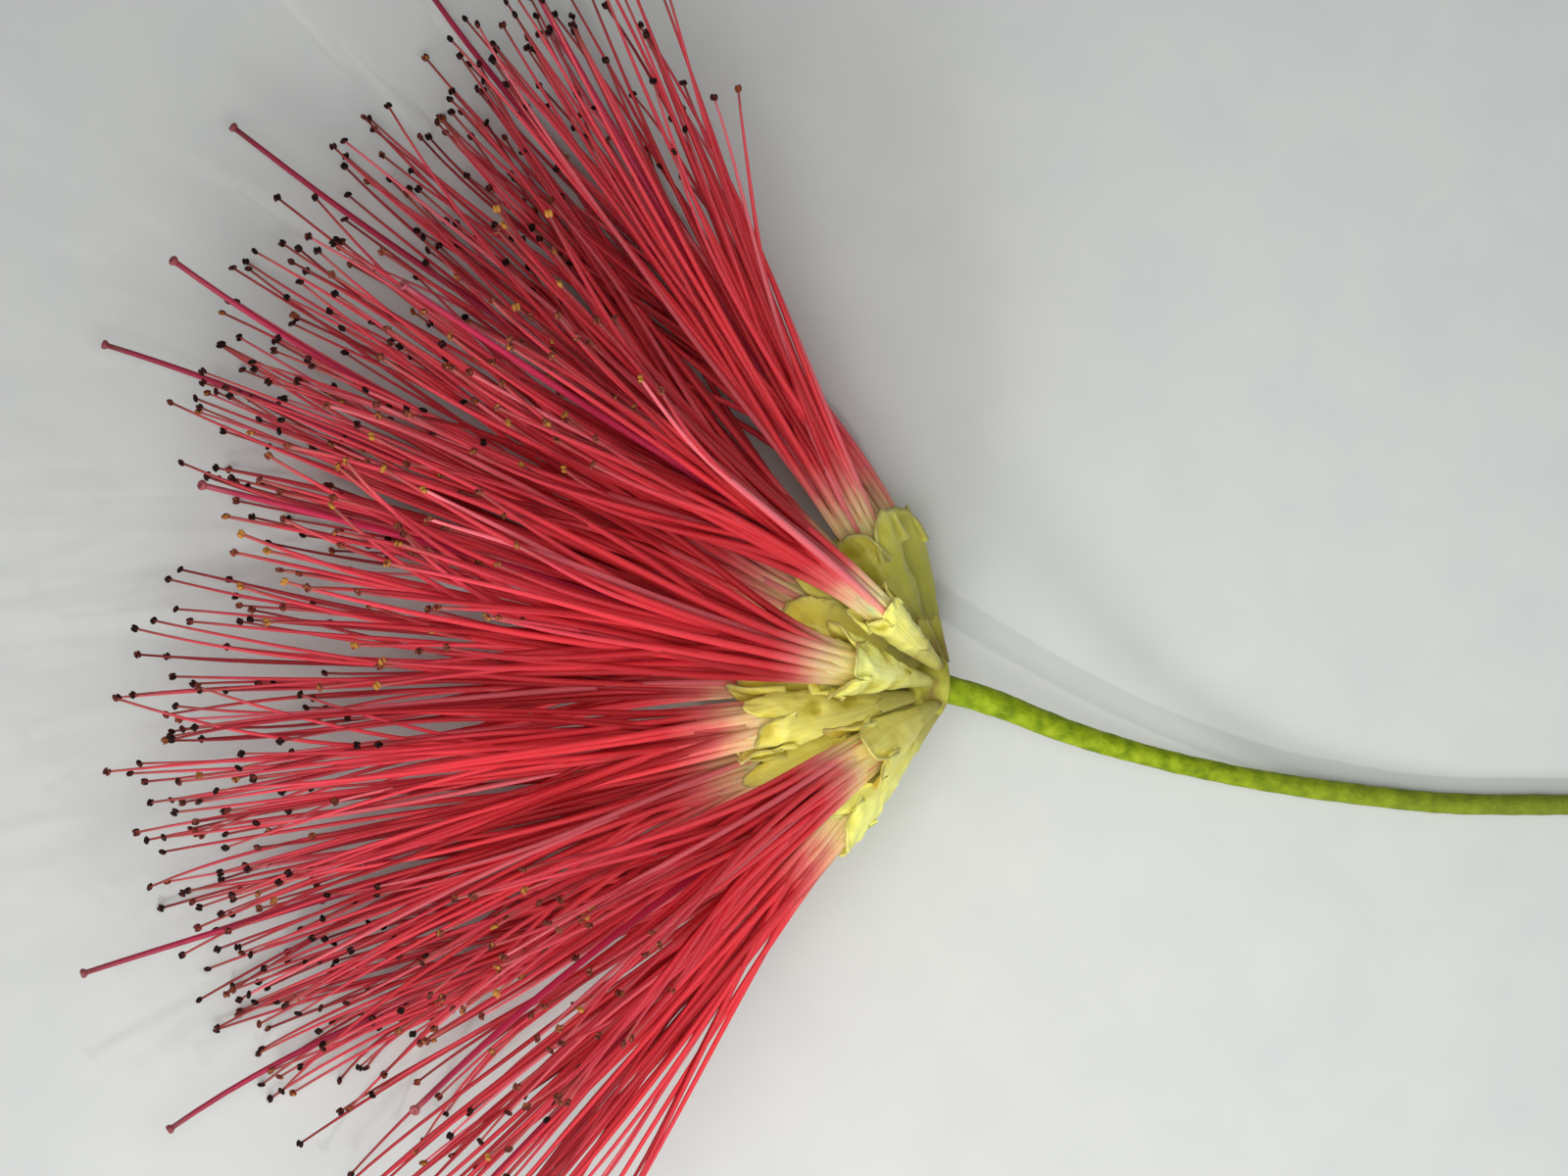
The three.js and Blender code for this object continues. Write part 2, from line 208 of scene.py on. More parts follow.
def style_route(floret):
    bend = floret["brush"] * BEND_AT * STYLE_LENGTH + draw_offset(WAVER)
    tip = floret["brush"] * STYLE_LENGTH + draw_offset(WAVER)
    return strand_route(floret, mouth_middle(floret), bend, tip)


def random_offset(chance, size):
    return Vector([chance.gauss(0, 0.5) for _ in range(3)]) * size


def companion_route(floret, route, loose, turn, chance):
    """The route of a stamen that clings to another one, from a root of its own in the mouth."""
    reach = chance.uniform(*COMPANION_REACH)
    middle = mouth_middle(floret)
    side = around_axis(floret["axis"], chance.uniform(0, 2 * math.pi))
    root = middle + side * ROOT_OUTER * floret["girth"] * math.sqrt(chance.random())
    points = [root, root + floret["axis"] * STRAIGHT + (root - middle) * COMPANION_FAN]
    points += [turn @ (route[0] + (point - route[0]) * reach) for point in route[2:]]
    return [
        above_table(point + random_offset(chance, loose * stray))
        for point, stray in zip(points, COMPANION_STRAYS)]


def strand_line(route, chance):
    """A strand's smooth line along its route, with the slight sway of a thing that grew."""
    line = interpolate_bezier(*route, STRAND_STEPS + 1)
    start = chance.uniform(0, SWAY_SPAN)
    curl = random_offset(chance, TIP_CURL)
    for step, point in enumerate(line):
        part = step / STRAND_STEPS
        place = SWAYS_A_STRAND * part
        sway = Vector([noise.noise(Vector((start, place, row))) for row in SWAY_ROWS])
        line[step] = above_table(point + sway * SWAY * part + curl * part ** TIP_CURL_POWER)
    return line


def grow_brush(number, floret):
    """Adds the lines of a floret's filaments and of its style, if it has one."""
    stamen_routes = [stamen_route(floret, k) for k in range(STAMENS)]
    style_routes = [] if number in WITHOUT_STYLE else [style_route(floret)]
    chance = random.Random(number)
    loose = LOOSE.get(number, 1)
    turn = Matrix.Rotation(math.radians(TURNED.get(number, 0)), 3, "Z")
    companions = FEWER_COMPANIONS.get(number, MOST_COMPANIONS)
    stamen_routes += [
        companion_route(floret, route, loose, turn, chance)
        for route in stamen_routes for _ in range(companions)]
    floret["filament_lines"] = [strand_line(route, chance) for route in stamen_routes]
    floret["style_lines"] = [strand_line(route, chance) for route in style_routes]


for number, floret in enumerate(florets, 1):
    grow_brush(number, floret)

# Stalk: one living green stem, a little thicker at the neck, that sinks from the head and lies
# on the surface to its cut end. Its skin is matt with fine down, mottled light and dark green,
# and the cut shows a pale pith inside the rind.
STALK_ROUTE = [
    (0, 0, 0),
    (1.8, -0.55, -0.35),
    (4.4, -1.55, -1.25),
    (7.5, -2.45, -2.2),
    (10.6, -3.1, -2.85),
    (13.7, -3.55, -3.15),
    (16.8, -3.85, -3.27),
    (21.4, -3.88, -3.27),
    (26, -3.9, -3.27),
]
STALK_RADIUS = 0.33
STALK_NECK_RADIUS = 0.45
STALK_NECK_LENGTH = 8
STALK_SIDES = 40
STALK_STEPS_A_STRETCH = 40
STALK_BUMP_SIZE = 0.5
STALK_BUMP_HEIGHT = 0.02
PITH_SHARE = 0.62
PITH_SUNK = 0.05
MOTTLE_SIZE = 0.45
DOWN_SIZE = 0.11
DOWN_HEIGHT = 0.05
GREEN_TO = 8
OLIVE_FROM = 22
OLIVE_SHARE = 0.75


def linear(hex_colour):
    """An sRGB hex colour as the linear RGBA that shaders use."""
    values = [int(hex_colour[i:i + 2], 16) / 255 for i in (1, 3, 5)]
    return tuple(v / 12.92 if v <= 0.04045 else ((v + 0.055) / 1.055) ** 2.4 for v in values) + (1,)


def add_node(tree, kind, inputs=None, stops=None, **settings):
    """Adds a node; an input is given as a value or as another node's output."""
    node = tree.nodes.new(kind)
    for name, value in settings.items():
        setattr(node, name, value)
    for name, value in (inputs or {}).items():
        if isinstance(value, bpy.types.NodeSocket):
            tree.links.new(value, node.inputs[name])
        else:
            node.inputs[name].default_value = value
    if stops:
        ramp = node.color_ramp
        while len(ramp.elements) < len(stops):
            ramp.elements.new(1)
        for element, (place, colour) in zip(ramp.elements, stops):
            element.position = place
            element.color = linear(colour)
    return node


def new_material(name, roughness, specular):
    """An empty material, its tree, and its shader with the gloss that is even all over."""
    material = bpy.data.materials.new(name)
    material.use_nodes = True
    shader = material.node_tree.nodes["Principled BSDF"]
    shader.inputs["Roughness"].default_value = roughness
    shader.inputs["Specular IOR Level"].default_value = specular
    return material, material.node_tree, shader


def pattern_scale(size):
    """The scale that gives a noise pattern its size in millimetres."""
    return 1 / (size * MM)


def living_stem():
    # Downy green plant skin: matt, with a fine grain that breaks up every highlight, and turning
    # olive towards the cut.
    material, tree, shader = new_material("downy_green_stem", roughness=0.62, specular=0.15)
    place = add_node(tree, "ShaderNodeTexCoord").outputs["Object"]
    mottle = add_node(tree, "ShaderNodeTexNoise", {
        "Vector": place, "Scale": pattern_scale(MOTTLE_SIZE), "Detail": 4})
    green = add_node(tree, "ShaderNodeValToRGB", {"Fac": mottle.outputs["Fac"]}, stops=[
        (0.3, "#627a08"), (0.5, "#84980e"), (0.7, "#9cae20")])
    sides = add_node(tree, "ShaderNodeSeparateXYZ", {"Vector": place})
    older = add_node(tree, "ShaderNodeMapRange", {
        "Value": sides.outputs["X"], "From Min": GREEN_TO * MM, "From Max": OLIVE_FROM * MM,
        "To Max": OLIVE_SHARE})
    aged = add_node(tree, "ShaderNodeMixRGB", {
        "Fac": older.outputs["Result"], "Color1": green.outputs["Color"],
        "Color2": linear("#6c7428")})
    pith = add_node(tree, "ShaderNodeAttribute", attribute_name="pith")
    colour = add_node(tree, "ShaderNodeMixRGB", {
        "Fac": pith.outputs["Fac"], "Color1": aged.outputs["Color"], "Color2": linear("#d3dba0")})
    down = add_node(tree, "ShaderNodeTexNoise", {
        "Vector": place, "Scale": pattern_scale(DOWN_SIZE), "Detail": 3})
    bump = add_node(tree, "ShaderNodeBump", {
        "Height": down.outputs["Fac"], "Distance": DOWN_HEIGHT * MM, "Strength": 0.8})
    tree.links.new(colour.outputs["Color"], shader.inputs["Base Color"])
    tree.links.new(bump.outputs["Normal"], shader.inputs["Normal"])
    return material


def smooth_route(corners, steps):
    """A smooth line through the corners, with so many steps between each two."""
    points = [Vector(corner) for corner in corners]
    padded = [2 * points[0] - points[1], *points, 2 * points[-1] - points[-2]]
    line = []
    for before, start, end, after in zip(padded, padded[1:], padded[2:], padded[3:]):
        leave, arrive = start + (end - before) / 6, end - (after - start) / 6
        line += interpolate_bezier(start, leave, arrive, end, steps + 1)[:-1]
    return line + [points[-1]]


def tube_template(sides, steps):
    """A straight tube of unit radius from z = 0 to z = 1, closed at both ends."""
    bm = bmesh.new()
    bmesh.ops.create_cone(
        bm, cap_ends=True, segments=sides, radius1=1, radius2=1, depth=1,
        matrix=Matrix.Translation((0, 0, 0.5)))
    long_edges = [edge for edge in bm.edges if abs(edge.verts[0].co.z - edge.verts[1].co.z) > 0.5]
    bmesh.ops.subdivide_edges(bm, edges=long_edges, cuts=steps - 1, use_grid_fill=True)
    return bm


def frame_along(line, step):
    """The cross-section's two directions at a step of a line, the first one level."""
    along = (line[min(step + 1, len(line) - 1)] - line[max(step - 1, 0)]).normalized()
    level = Vector((0, 0, 1)).cross(along).normalized()
    return level, along.cross(level)


def bend_tube(verts, line, radius_at):
    """Bends a straight unit tube along a line; radius_at gives its radius at each step."""
    steps = len(line) - 1
    frames = [frame_along(line, step) for step in range(steps + 1)]
    for vert in verts:
        step = round(vert.co.z * steps)
        level, upright = frames[step]
        radius = radius_at(step)
        vert.co = line[step] + level * vert.co.x * radius + upright * vert.co.y * radius


def finish_piece(bm, name, material, slot, *nodes):
    """Turns a bmesh in millimetres round the head's centre into a piece of the flower."""
    bmesh.ops.translate(bm, verts=bm.verts, vec=HEAD)
    bmesh.ops.scale(bm, verts=bm.verts, vec=(MM, MM, MM))
    mesh = bpy.data.meshes.new(name)
    bm.to_mesh(mesh)
    bm.free()
    mesh.shade_smooth()
    mesh.materials.append(material)
    piece = bpy.data.objects.new(name, mesh)
    bpy.context.scene.collection.objects.link(piece)
    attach(piece, "root")
    if nodes:
        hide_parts(*nodes)
    return piece


def stalk():
    line = smooth_route(STALK_ROUTE, STALK_STEPS_A_STRETCH)
    bm = tube_template(STALK_SIDES, len(line) - 1)
    pith = bm.verts.layers.float.new("pith")
    cut = max(bm.faces, key=lambda face: face.calc_center_median().z)
    bmesh.ops.inset_individual(bm, faces=[cut], thickness=1 - PITH_SHARE)
    for vert in cut.verts:
        vert[pith] = 1

    def radius_at(step):
        return mix(STALK_NECK_RADIUS, STALK_RADIUS, min(line[step].length / STALK_NECK_LENGTH, 1))

    bend_tube(bm.verts, line, radius_at)
    bm.normal_update()
    for vert in bm.verts:
        vert.co += vert.normal * STALK_BUMP_HEIGHT * noise.noise(vert.co / STALK_BUMP_SIZE)
        vert.co = above_table(vert.co, 0)
    for vert in cut.verts:
        vert.co -= Vector((PITH_SUNK, 0, 0))
    finish_piece(bm, "stalk", living_stem(), "stalk", "peduncle")


stalk()

# Receptacle: the low dome at the end of the stalk that the florets stand on. It grew in one
# with the stalk, and the floret feet hide nearly all of it.
RECEPTACLE_RADIUS = 0.98
RECEPTACLE_BACK = 0.12
RECEPTACLE_BUMP_SIZE = 0.25
RECEPTACLE_BUMP_HEIGHT = 0.06
SCAR_SIZE = 0.5
SCAR_HEIGHT = 0.08


def olive_skin():
    # Olive plant skin with brown scars between the feet: matt and uneven.
    material, tree, shader = new_material(
        "olive_skin_with_brown_scars", roughness=0.65, specular=0.25)
    place = add_node(tree, "ShaderNodeTexCoord").outputs["Object"]
    scars = add_node(tree, "ShaderNodeTexNoise", {
        "Vector": place, "Scale": pattern_scale(SCAR_SIZE), "Detail": 4})
    colour = add_node(tree, "ShaderNodeValToRGB", {"Fac": scars.outputs["Fac"]}, stops=[
        (0.35, "#8a7436"), (0.5, "#a09c38"), (0.7, "#b0b044")])
    bump = add_node(tree, "ShaderNodeBump", {
        "Height": scars.outputs["Fac"], "Distance": SCAR_HEIGHT * MM, "Strength": 0.8})
    tree.links.new(colour.outputs["Color"], shader.inputs["Base Color"])
    tree.links.new(bump.outputs["Normal"], shader.inputs["Normal"])
    return material


def receptacle():
    bm = bmesh.new()
    bmesh.ops.create_uvsphere(bm, u_segments=40, v_segments=24, radius=RECEPTACLE_RADIUS)
    turn = Vector((0, 0, 1)).rotation_difference(direction(*HEAD_FACES))
    for vert in bm.verts:
        if vert.co.z < 0:
            vert.co.z *= RECEPTACLE_BACK
        bump = noise.noise(vert.co / RECEPTACLE_BUMP_SIZE)
        vert.co += vert.co.normalized() * RECEPTACLE_BUMP_HEIGHT * bump
        vert.co.rotate(turn)
    finish_piece(bm, "receptacle", olive_skin(), "stalk")


receptacle()

# Calyces: the short cup at the foot of each floret, of five sepals grown together, with a small
# ragged tooth at the top of each. Thin tissue like the corolla's, with brown-purple patches.
CALYX_PROFILE = [
    (0, -0.5), (0.17, -0.45), (0.24, 0), (0.29, 0.35),
    (0.33, 0.6), (0.365, 0.8), (0.385, 0.92), (0.405, 1.02)]
CALYX_TEETH = 5
CALYX_TOOTH = 0.3
CALYX_TOOTH_POINT = 1.5
CALYX_RAGGED = 0.12
CALYX_RAGS = 6
CALYX_RAG_ROW = 0.5
CALYX_UNEVEN = 0.12
CALYX_COLUMNS = 60
CALYX_WALL = 0.03
CALYX_PATCH_SIZE = 0.8
CALYX_PATCH_HEIGHT = 0.1
CALYX_PALER = 0.8
# Olive to lemon per floret: partly ripening, partly painted light. The rest, in painted shade, stay
# olive.
PALE_WITH_PAINTED_LIGHT = {3: 0.91, 5: 1.0, 6: 0.85, 7: 0.8, 8: 0.85, 9: 0.9, 10: 0.85, 11: 1.0, 12: 0.95, 13: 0.85}
LEAST_PALE_SHADED = 0.1
WELD = 0.001


def sepal_tissue():
    # Thin green sepal tissue: satin, a little translucent, with a few brown-purple patches.
    material, tree, shader = new_material("thin_sepal_tissue", roughness=0.5, specular=0.3)
    own = add_node(tree, "ShaderNodeAttribute", attribute_name="own")
    rise = add_node(tree, "ShaderNodeSeparateXYZ", {"Vector": own.outputs["Vector"]})
    place = add_node(tree, "ShaderNodeTexCoord").outputs["Object"]
    ground = add_node(tree, "ShaderNodeValToRGB", {"Fac": rise.outputs["Z"]}, stops=[
        (0.1, "#8a7a2c"), (0.6, "#a8a23c"), (0.9, "#b4ac4c"), (1.0, "#a48a48")])
    # Paler towards lemon by the floret's share, which is partly painted light.
    paled = add_node(tree, "ShaderNodeMixRGB", {
        "Fac": rise.outputs["X"], "Color1": ground.outputs["Color"], "Color2": linear("#dcd878")})
    patch = add_node(tree, "ShaderNodeTexNoise", {
        "Vector": place, "Scale": pattern_scale(CALYX_PATCH_SIZE), "Detail": 4})
    browned = add_node(tree, "ShaderNodeValToRGB", {"Fac": patch.outputs["Fac"]}, stops=[
        (0.47, "#000000"), (0.66, "#a0a0a0")])
    colour = add_node(tree, "ShaderNodeMixRGB", {
        "Fac": browned.outputs["Color"], "Color1": paled.outputs["Color"],
        "Color2": linear("#805a4a")})
    bump = add_node(tree, "ShaderNodeBump", {
        "Height": patch.outputs["Fac"], "Distance": CALYX_PATCH_HEIGHT * MM, "Strength": 0.6})
    tree.links.new(colour.outputs["Color"], shader.inputs["Base Color"])
    tree.links.new(bump.outputs["Normal"], shader.inputs["Normal"])
    shader.inputs["Subsurface Weight"].default_value = 0.2
    shader.inputs["Subsurface Radius"].default_value = (0.4 * MM, 0.3 * MM, 0.1 * MM)
    return material


def turned_sheet(profile, columns):
    """A thin sheet turned round the z axis from a profile of radii and heights."""
    bm = bmesh.new()
    verts = [bm.verts.new((radius, 0, height)) for radius, height in profile]
    edges = [bm.edges.new(pair) for pair in zip(verts, verts[1:])]
    bmesh.ops.spin(
        bm, geom=verts + edges, cent=(0, 0, 0), axis=(0, 0, 1), angle=2 * math.pi,
        steps=columns, use_merge=True)
    bmesh.ops.remove_doubles(bm, verts=bm.verts, dist=WELD)
    bmesh.ops.recalc_face_normals(bm, faces=bm.faces)
    return bm


def around(point):
    return math.atan2(point.y, point.x)


def stand_on_foot(floret):
    """The turn and place that set a sheet turned round z on a floret's foot."""
    turn = Vector((0, 1, 0)).rotation_difference(floret["axis"])
    across, forward = turn @ Vector((0, 0, 1)), turn @ Vector((1, 0, 0))
    place = Matrix((across, forward, floret["axis"])).transposed().to_4x4()
    place.translation = floret["foot"]
    return place


def thicken(piece, wall):
    solidify = piece.modifiers.new("wall", "SOLIDIFY")
    solidify.thickness = wall * MM
    solidify.offset = -1


def calyx(number, floret):
    bm = turned_sheet(CALYX_PROFILE, CALYX_COLUMNS)
    own = bm.verts.layers.float_vector.new("own")
    top = CALYX_PROFILE[-1][1]
    # The calyx pales with its floret's share, which is partly painted light.
    paled = CALYX_PALER * PALE_WITH_PAINTED_LIGHT.get(number, LEAST_PALE_SHADED) ** 4
    for vert in bm.verts:
        angle = around(vert.co)
        rise = max(vert.co.z, 0) / top
        tooth = abs(math.cos(0.5 * CALYX_TEETH * angle + number)) ** CALYX_TOOTH_POINT - 0.5
        ragged = noise.noise(Vector((CALYX_RAGS * angle, number, CALYX_RAG_ROW)))
        vert.co.z += (CALYX_TOOTH * tooth + CALYX_RAGGED * ragged) * rise ** 4
        uneven = noise.noise(Vector((2 * math.cos(angle), 2 * math.sin(angle), number)))
        vert.co.xy *= 1 + CALYX_UNEVEN * rise ** 3 * uneven
        vert[own] = Vector((paled, 0, rise))
    bm.transform(stand_on_foot(floret))
    piece = finish_piece(bm, f"calyx_{number:02d}", calyx_material, "petal")
    thicken(piece, CALYX_WALL)


calyx_material = sepal_tissue()
for number, floret in enumerate(florets, 1):
    calyx(number, floret)

# Corollas: five waxy petals grown together into a tube, free above the mouth as broad rounded lobes
# that overlap at their sides and turn at the rim. Olive to lemon, partly by ripening and partly
# painted shade and light, with fine veins, crumpled folds with painted shade in their hollows, a
# painted highlight on the rims, and browned tips.
MOUTH = 0.684
MOUTH_RADIUS = 0.88
COROLLA_PROFILE = [
    (0.14, 0.32), (0.3, 0.5), (0.386, 0.6), (0.56, 0.77),
    (MOUTH, MOUTH_RADIUS), (0.86, 1.02), (1, 1.04)]
COROLLA_STEPS_A_STRETCH = 7
COROLLA_LEAN = 0.8
COROLLA_WALL = 0.085
LOBES = 5
LOBE_COLUMNS = 20
LOBE_RAGGED = 0.3
LOBE_BULGE = 0.2
LOBE_SQUARE = 2.2
LOBE_TUCK = 0.07
LOBE_CUP = 0.26
LOBE_CURL = (-0.45, 0.45)
LOBE_RIPPLE = 0.12
LOBE_RIPPLES = (3, 2.5)
LOBE_RIPPLE_STEP = 7
LOBE_SIDES_OPEN = 4
# How much is left of the lobes of two florets on top, which have shrunk.
LOBE_LEFT = {3: 0.6, 5: 0.7}
RIM_ROLL = 0.11
RIM_POWER = 8
FLUTE_DEPTH = 0.06
FLUTES = 2.2
FLUTE_DRIFT = 0.2
CREASE_SIZE = 0.9
CREASE_DEPTH = 0.05
CREASE_SHARPNESS = 3
FINE_CREASES = 2.3
FINE_CREASE_SHARE = 0.25
CREASE_RUFFLE = 0.5
# How deep the creases of each floret are beside that depth.
CREASED = {2: 1.2, 3: 1.6, 5: 1.9, 6: 1.1, 8: 1.2, 9: 1.5, 10: 1.3, 11: 1.0, 12: 1.2}
LEAST_CREASED = 0.9
TIP_BROWNING = (0.6, 1.1)
# Painted shade and light of the folds: darker in the hollows of the flutes and creases, paler on
# their ridges.
FOLD_SHADE_MIDDLE = 0.6
FLUTE_SHADE = 0.4
CREASE_SHADE = 0.3
PETAL_PATCH_SIZE = 0.9
YELLOWING_WANDER = 0.4
VEIN_STRETCH = (11, 11, 1.5)
VEIN_HEIGHT = 0.05
SLACK = 0.01


def waxy_petal():
    # Living petal tissue: waxy, finely veined and translucent, with painted shade in the hollows of
    # its folds and painted light on their ridges, pale along its thin edges under a painted rim
    # highlight, and browning at the tips.
    material, tree, shader = new_material("waxy_petal", roughness=0.42, specular=0.4)
    own = add_node(tree, "ShaderNodeAttribute", attribute_name="own")
    rise = add_node(tree, "ShaderNodeSeparateXYZ", {"Vector": own.outputs["Vector"]})
    painted_light_and_wear = add_node(tree, "ShaderNodeAttribute", attribute_name="painted_light_and_wear")
    painted_and_worn = add_node(tree, "ShaderNodeSeparateXYZ", {"Vector": painted_light_and_wear.outputs["Vector"]})
    place = add_node(tree, "ShaderNodeTexCoord").outputs["Object"]
    patches = add_node(tree, "ShaderNodeTexNoise", {
        "Vector": place, "Scale": pattern_scale(PETAL_PATCH_SIZE), "Detail": 4})
    wander = add_node(tree, "ShaderNodeMath", {
        0: patches.outputs["Fac"], 1: YELLOWING_WANDER, 2: -YELLOWING_WANDER / 2},
        operation="MULTIPLY_ADD")
    height = add_node(tree, "ShaderNodeMath", {
        0: rise.outputs["Z"], 1: wander.outputs["Value"]}, operation="ADD")
    olive = add_node(tree, "ShaderNodeValToRGB", {"Fac": height.outputs["Value"]}, stops=[
        (0.15, "#8a8622"), (0.5, "#aca834"), (0.8, "#c0bc4c"), (1.0, "#c0ba54")])
    lemon = add_node(tree, "ShaderNodeValToRGB", {"Fac": height.outputs["Value"]}, stops=[
        (0.15, "#e8e484"), (0.4, "#faf89a"), (0.75, "#fefe98"), (1.0, "#fcf884")])
    # Olive to lemon, with a warmer tint between, by each floret's share: partly ripening, partly
    # painted light and shade.
    mixed = add_node(tree, "ShaderNodeMixRGB", {
        "Fac": painted_light_and_wear.outputs["Alpha"], "Color1": olive.outputs["Color"],
        "Color2": lemon.outputs["Color"]})
    warmth = add_node(tree, "ShaderNodeValToRGB", {"Fac": painted_light_and_wear.outputs["Alpha"]}, stops=[
        (0.1, "#ffffff"), (0.7, "#fff0cc"), (0.85, "#fff6dc"), (0.95, "#ffffff")])
    ground = add_node(tree, "ShaderNodeMixRGB", {
        "Fac": 1.0, "Color1": mixed.outputs["Color"], "Color2": warmth.outputs["Color"]},
        blend_type="MULTIPLY")
    stretch = add_node(tree, "ShaderNodeMapping", {
        "Vector": own.outputs["Vector"], "Scale": VEIN_STRETCH})
    veins = add_node(tree, "ShaderNodeTexNoise", {
        "Vector": stretch.outputs["Vector"], "Scale": 1, "Detail": 4})
    vein_tone = add_node(tree, "ShaderNodeValToRGB", {"Fac": veins.outputs["Fac"]}, stops=[
        (0.35, "#d4d098"), (0.6, "#ffffff")])
    veined = add_node(tree, "ShaderNodeMixRGB", {
        "Fac": 0.2, "Color1": ground.outputs["Color"], "Color2": vein_tone.outputs["Color"]},
        blend_type="MULTIPLY")
    # Painted shade in the hollows of the folds and painted light on their ridges.
    fold_shading = add_node(tree, "ShaderNodeValToRGB", {"Fac": painted_and_worn.outputs["X"]}, stops=[
        (0.0, "#d0c468"), (0.4, "#fcf8dc"), (0.8, "#ffffff")])
    fold_shaded = add_node(tree, "ShaderNodeMixRGB", {
        "Fac": 0.9, "Color1": veined.outputs["Color"], "Color2": fold_shading.outputs["Color"]},
        blend_type="MULTIPLY")
    # A painted highlight along the rolled rims, on tissue that is also paler where it is thin.
    rim_highlight_and_pale_edge = add_node(tree, "ShaderNodeValToRGB", {"Fac": painted_and_worn.outputs["Y"]}, stops=[
        (0.3, "#000000"), (1.0, "#a0a0a0")])
    edged = add_node(tree, "ShaderNodeMixRGB", {
        "Fac": rim_highlight_and_pale_edge.outputs["Color"], "Color1": fold_shaded.outputs["Color"],
        "Color2": linear("#e8e6a4")})
    browning = add_node(tree, "ShaderNodeMath", {
        0: patches.outputs["Fac"], 1: painted_and_worn.outputs["Z"]}, operation="MULTIPLY")
    browned = add_node(tree, "ShaderNodeValToRGB", {"Fac": browning.outputs["Value"]}, stops=[
        (0.24, "#000000"), (0.46, "#b0b0b0")])
    colour = add_node(tree, "ShaderNodeMixRGB", {
        "Fac": browned.outputs["Color"], "Color1": edged.outputs["Color"],
        "Color2": linear("#6b5420")})
    bump = add_node(tree, "ShaderNodeBump", {
        "Height": veins.outputs["Fac"], "Distance": VEIN_HEIGHT * MM, "Strength": 0.6})
    tree.links.new(colour.outputs["Color"], shader.inputs["Base Color"])
    tree.links.new(bump.outputs["Normal"], shader.inputs["Normal"])
    shader.inputs["Subsurface Weight"].default_value = 0.7
    shader.inputs["Subsurface Radius"].default_value = (0.5 * MM, 0.45 * MM, 0.1 * MM)
    return material


def crease(point):
    """Height of sharp creases at a point: 1 on the ridges, and less into the hollows."""
    fine = abs(noise.noise(FINE_CREASES * point))
    return 1 - CREASE_SHARPNESS * (abs(noise.noise(point)) + FINE_CREASE_SHARE * fine)


def part_lobes(bm, mouth):
    """Cuts the sheet above the mouth into lobes, each free along its two sides."""
    sides = []
    for edge in bm.edges:
        low, high = sorted((vert.co for vert in edge.verts), key=lambda point: point.z)
        place = around(high) / (2 * math.pi) * LOBES
        upright = high.z > low.z + SLACK and abs(place - round(place)) < SLACK
        if upright and low.z > mouth - SLACK:
            sides.append(edge)
    bmesh.ops.split_edges(bm, edges=sides)


def lobe_of(vert):
    """The number of the lobe above which a point of the sheet stands, from its first face."""
    return int(around(vert.link_faces[0].calc_center_median()) / (2 * math.pi) % 1 * LOBES)


def shape_lobe(number, point, lobe, above, shares, curl):
    """Where a point of the free part of the sheet lies in its rounded, cupped lobe."""
    middle = 2 * math.pi * (lobe + 0.5) / LOBES
    aside = math.remainder(around(point) - middle, 2 * math.pi) * LOBES / math.pi
    reach = mix(*shares, 0.5 + 0.5 * aside) * LOBE_LEFT.get(number, 1)
    width = 1 + LOBE_BULGE * math.sin(math.pi * above)
    outline = max(1 - abs(aside) ** LOBE_SQUARE, 0) ** 0.5
    opened = min(LOBE_SIDES_OPEN * above, 1)
    rim = max(abs(aside) ** RIM_POWER * opened, above ** RIM_POWER)
    ripples_aside, ripples_up = LOBE_RIPPLES
    place = ripples_aside * aside + LOBE_RIPPLE_STEP * lobe
    ripple = noise.noise(Vector((place, number, ripples_up * above)))
    radius = mix(MOUTH_RADIUS, point.xy.length, reach)
    radius += LOBE_TUCK * aside * opened - LOBE_CUP * aside ** 2 * above
    radius += curl * (above * reach) ** 2 + LOBE_RIPPLE * ripple * above + RIM_ROLL * rim
    angle = middle + aside * width * math.pi / LOBES
    rise = above * reach * outline * (1 + LOBE_RIPPLE * ripple * above)
    return radius, angle, rise, rim


